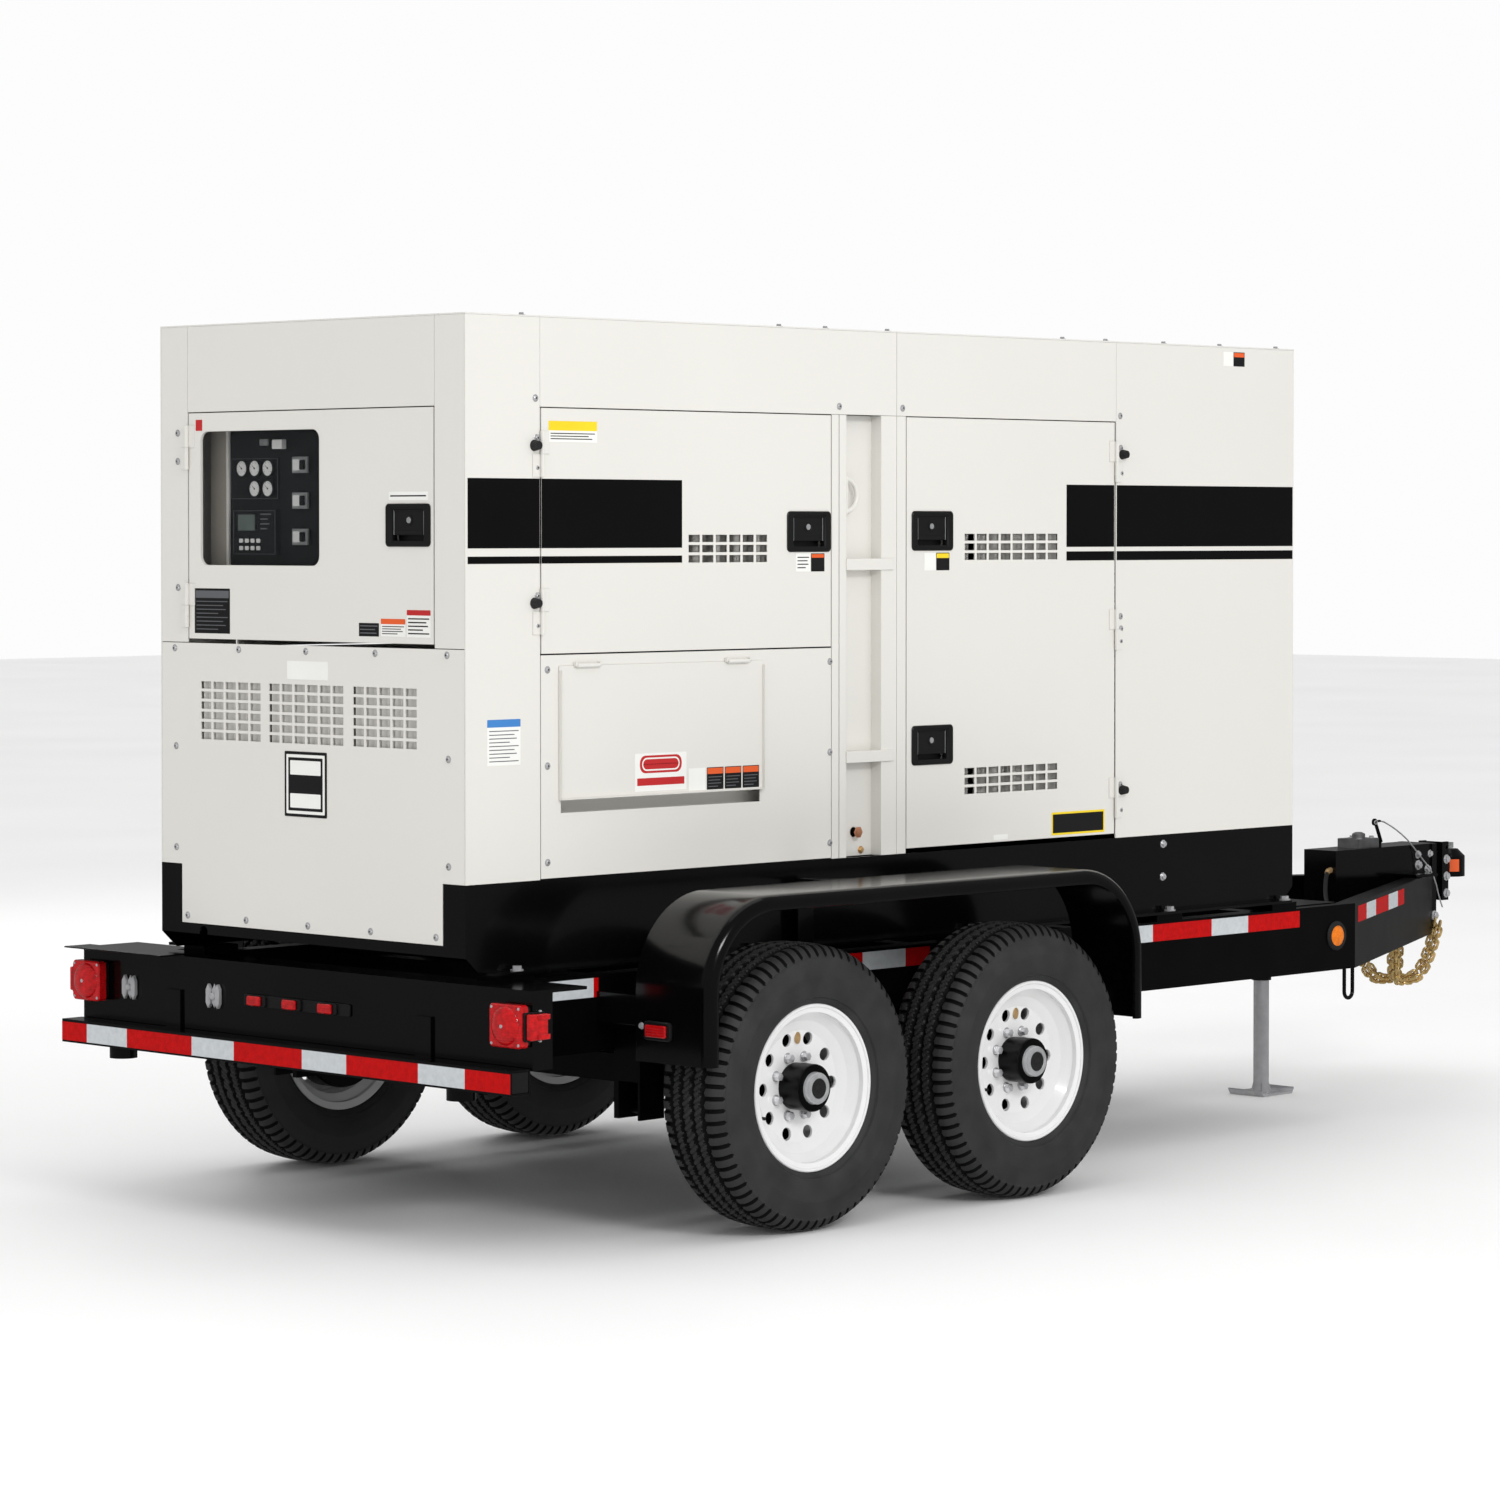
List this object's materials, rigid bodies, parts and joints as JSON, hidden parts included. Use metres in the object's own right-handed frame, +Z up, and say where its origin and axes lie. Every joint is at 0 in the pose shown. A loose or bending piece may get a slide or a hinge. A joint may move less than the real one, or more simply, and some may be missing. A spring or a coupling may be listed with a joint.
{
  "type": "towable diesel generator",
  "caption": "Tandem-axle trailer with a sound-proofed diesel generator housing, hinged doors, jack and ball coupler.",
  "frame": {"origin": "on the ground under the middle of the overall length, on the centreline", "axes": "+X forward to the coupler, +Y to the left side, +Z up"},
  "size_m": [5.304, 2.136, 2.422],
  "materials": {
    "frame_black": "gloss black enamel",
    "white_paint": "satin warm white powder coat",
    "wheel_white": "gloss white enamel",
    "tyre_rubber": "matte tread rubber",
    "latch_black": "gloss black plastic",
    "plated_steel": "bright zinc plate",
    "cast_metal": "grey casting",
    "cable_steel": "stranded wire",
    "yellow_zinc": "yellow zinc plate",
    "lamp_red": "clear red lens",
    "window_clear": "clear sheet",
    "tank_steel": "black enamel",
    "engine_iron": "grey paint over castings",
    "radiator_metal": "bare aluminium",
    "fan_plastic": "moulded black plastic",
    "battery_case": "black case",
    "panel_black": "textured black panel"
  },
  "bodies": {
    "frame": {"main_rails": "frame_black", "tongue_rails": "frame_black", "cross_members": "frame_black", "rear_beam": "frame_black", "rear_bumper": "frame_black", "fender_right": "frame_black", "fender_left": "frame_black", "axles": "frame_black", "leaf_springs": "frame_black", "lamps": "lamp_red", "jack_tube": "frame_black", "actuator_housing": "frame_black", "master_cylinder": "cast_metal", "breakaway_cable": "cable_steel", "safety_chains": "yellow_zinc", "base_skid": "frame_black", "fuel_tank": "tank_steel", "canopy_frame": "white_paint", "roof_panels": "white_paint", "rear_grille_panel": "white_paint", "front_grille_panel": "white_paint", "side_panels": "white_paint", "side_columns": "white_paint", "door_hinges": "white_paint", "engine": "engine_iron", "alternator": "engine_iron", "radiator": "radiator_metal", "muffler": "radiator_metal", "air_cleaner": "fan_plastic", "battery": "battery_case", "control_panel": "panel_black", "output_terminals": "panel_black"},
    "wheel_right_rear": {"tyre_right_rear": "tyre_rubber", "wheel_right_rear": "wheel_white"},
    "wheel_right_front": {"tyre_right_front": "tyre_rubber", "wheel_right_front": "wheel_white"},
    "wheel_left_rear": {"tyre_left_rear": "tyre_rubber", "wheel_left_rear": "wheel_white"},
    "wheel_left_front": {"tyre_left_front": "tyre_rubber", "wheel_left_front": "wheel_white"},
    "control_door": {"control_door": "white_paint", "control_window": "window_clear"},
    "door_right_rear": {"door_right_rear": "white_paint"},
    "door_right_front": {"door_right_front": "white_paint"},
    "door_left_rear": {"door_left_rear": "white_paint"},
    "door_left_front": {"door_left_front": "white_paint"},
    "cable_flap": {"cable_flap": "white_paint"},
    "cooling_fan": {"cooling_fan": "fan_plastic"},
    "jack_leg": {"jack_leg": "plated_steel"},
    "jack_crank": {"jack_crank": "plated_steel"},
    "coupler": {"coupler": "frame_black"},
    "coupler_latch": {"coupler_latch": "plated_steel"},
    "breakaway_lever": {"breakaway_lever": "cast_metal"},
    "latch_control": {"latch_control": "latch_black"},
    "latch_right_rear": {"latch_right_rear": "latch_black"},
    "latch_right_upper": {"latch_right_upper": "latch_black"},
    "latch_right_lower": {"latch_right_lower": "latch_black"},
    "latch_left_rear": {"latch_left_rear": "latch_black"},
    "latch_left_upper": {"latch_left_upper": "latch_black"},
    "latch_left_lower": {"latch_left_lower": "latch_black"}
  },
  "joints": [
    {"name": "wheel_right_rear_spin", "type": "hinge", "parent": "frame", "child": "wheel_right_rear", "pos_m": [-1.681, -0.9455, 0.382], "axis": [0, 1, 0], "continuous": true},
    {"name": "wheel_right_front_spin", "type": "hinge", "parent": "frame", "child": "wheel_right_front", "pos_m": [-0.803, -0.9455, 0.382], "axis": [0, 1, 0], "continuous": true},
    {"name": "wheel_left_rear_spin", "type": "hinge", "parent": "frame", "child": "wheel_left_rear", "pos_m": [-1.681, 0.9455, 0.382], "axis": [0, 1, 0], "continuous": true},
    {"name": "wheel_left_front_spin", "type": "hinge", "parent": "frame", "child": "wheel_left_front", "pos_m": [-0.803, 0.9455, 0.382], "axis": [0, 1, 0], "continuous": true},
    {"name": "control_door_hinge", "type": "hinge", "parent": "frame", "child": "control_door", "pos_m": [-2.5406, 0.5005, 1.8], "axis": [0, 0, -1], "range_deg": [0, 115]},
    {"name": "door_right_rear_hinge", "type": "hinge", "parent": "frame", "child": "door_right_rear", "pos_m": [-2.2687, -0.6266, 1.8], "axis": [0, 0, -1], "range_deg": [0, 115]},
    {"name": "door_left_rear_hinge", "type": "hinge", "parent": "frame", "child": "door_left_rear", "pos_m": [-2.2687, 0.6266, 1.8], "axis": [0, 0, 1], "range_deg": [0, 115]},
    {"name": "door_right_front_hinge", "type": "hinge", "parent": "frame", "child": "door_right_front", "pos_m": [0.0593, -0.6266, 1.5], "axis": [0, 0, 1], "range_deg": [0, 115]},
    {"name": "door_left_front_hinge", "type": "hinge", "parent": "frame", "child": "door_left_front", "pos_m": [0.0593, 0.6266, 1.5], "axis": [0, 0, -1], "range_deg": [0, 115]},
    {"name": "cable_flap_hinge", "type": "hinge", "parent": "frame", "child": "cable_flap", "pos_m": [-1.824, -0.627, 1.497], "axis": [-1, 0, 0], "range_deg": [0, 100]},
    {"name": "latch_control_pivot", "type": "hinge", "parent": "control_door", "child": "latch_control", "pos_m": [-2.529, -0.401, 1.904], "axis": [0, 1, 0], "range_deg": [0, 35], "stiffness_Nm_per_rad": 0.6},
    {"name": "latch_right_rear_pivot", "type": "hinge", "parent": "door_right_rear", "child": "latch_right_rear", "pos_m": [-1.257, -0.615, 1.887], "axis": [-1, 0, 0], "range_deg": [0, 35], "stiffness_Nm_per_rad": 0.6},
    {"name": "latch_right_upper_pivot", "type": "hinge", "parent": "door_right_front", "child": "latch_right_upper", "pos_m": [-0.749, -0.615, 1.889], "axis": [-1, 0, 0], "range_deg": [0, 35], "stiffness_Nm_per_rad": 0.6},
    {"name": "latch_right_lower_pivot", "type": "hinge", "parent": "door_right_front", "child": "latch_right_lower", "pos_m": [-0.749, -0.615, 1.282], "axis": [-1, 0, 0], "range_deg": [0, 35], "stiffness_Nm_per_rad": 0.6},
    {"name": "latch_left_rear_pivot", "type": "hinge", "parent": "door_left_rear", "child": "latch_left_rear", "pos_m": [-1.257, 0.615, 1.887], "axis": [1, 0, 0], "range_deg": [0, 35], "stiffness_Nm_per_rad": 0.6},
    {"name": "latch_left_upper_pivot", "type": "hinge", "parent": "door_left_front", "child": "latch_left_upper", "pos_m": [-0.749, 0.615, 1.889], "axis": [1, 0, 0], "range_deg": [0, 35], "stiffness_Nm_per_rad": 0.6},
    {"name": "latch_left_lower_pivot", "type": "hinge", "parent": "door_left_front", "child": "latch_left_lower", "pos_m": [-0.749, 0.615, 1.282], "axis": [1, 0, 0], "range_deg": [0, 35], "stiffness_Nm_per_rad": 0.6},
    {"name": "cooling_fan_spin", "type": "hinge", "parent": "frame", "child": "cooling_fan", "pos_m": [0.326, 0, 1.5], "axis": [1, 0, 0], "continuous": true},
    {"name": "jack_crank_turn", "type": "hinge", "parent": "frame", "child": "jack_crank", "pos_m": [1.556, 0.124, 1.058], "axis": [0, 1, 0], "range_deg": [0, 14390]},
    {"name": "jack_leg_slide", "type": "slide", "parent": "frame", "child": "jack_leg", "axis": [0, 0, 1], "range_m": [0, 0.24]},
    {"name": "coupler_surge", "type": "slide", "parent": "frame", "child": "coupler", "axis": [-1, 0, 0], "range_m": [0, 0.058]},
    {"name": "coupler_latch_pivot", "type": "hinge", "parent": "coupler", "child": "coupler_latch", "pos_m": [2.541, 0, 0.756], "axis": [0, -1, 0], "range_deg": [0, 75]},
    {"name": "breakaway_lever_pivot", "type": "hinge", "parent": "frame", "child": "breakaway_lever", "pos_m": [2.179, -0.019, 0.8], "axis": [0, 1, 0], "range_deg": [0, 40]}
  ],
  "couplings": [
    {"joint": "jack_leg_slide", "follows": "jack_crank_turn", "m_per_rad": 0.00095493}
  ]
}
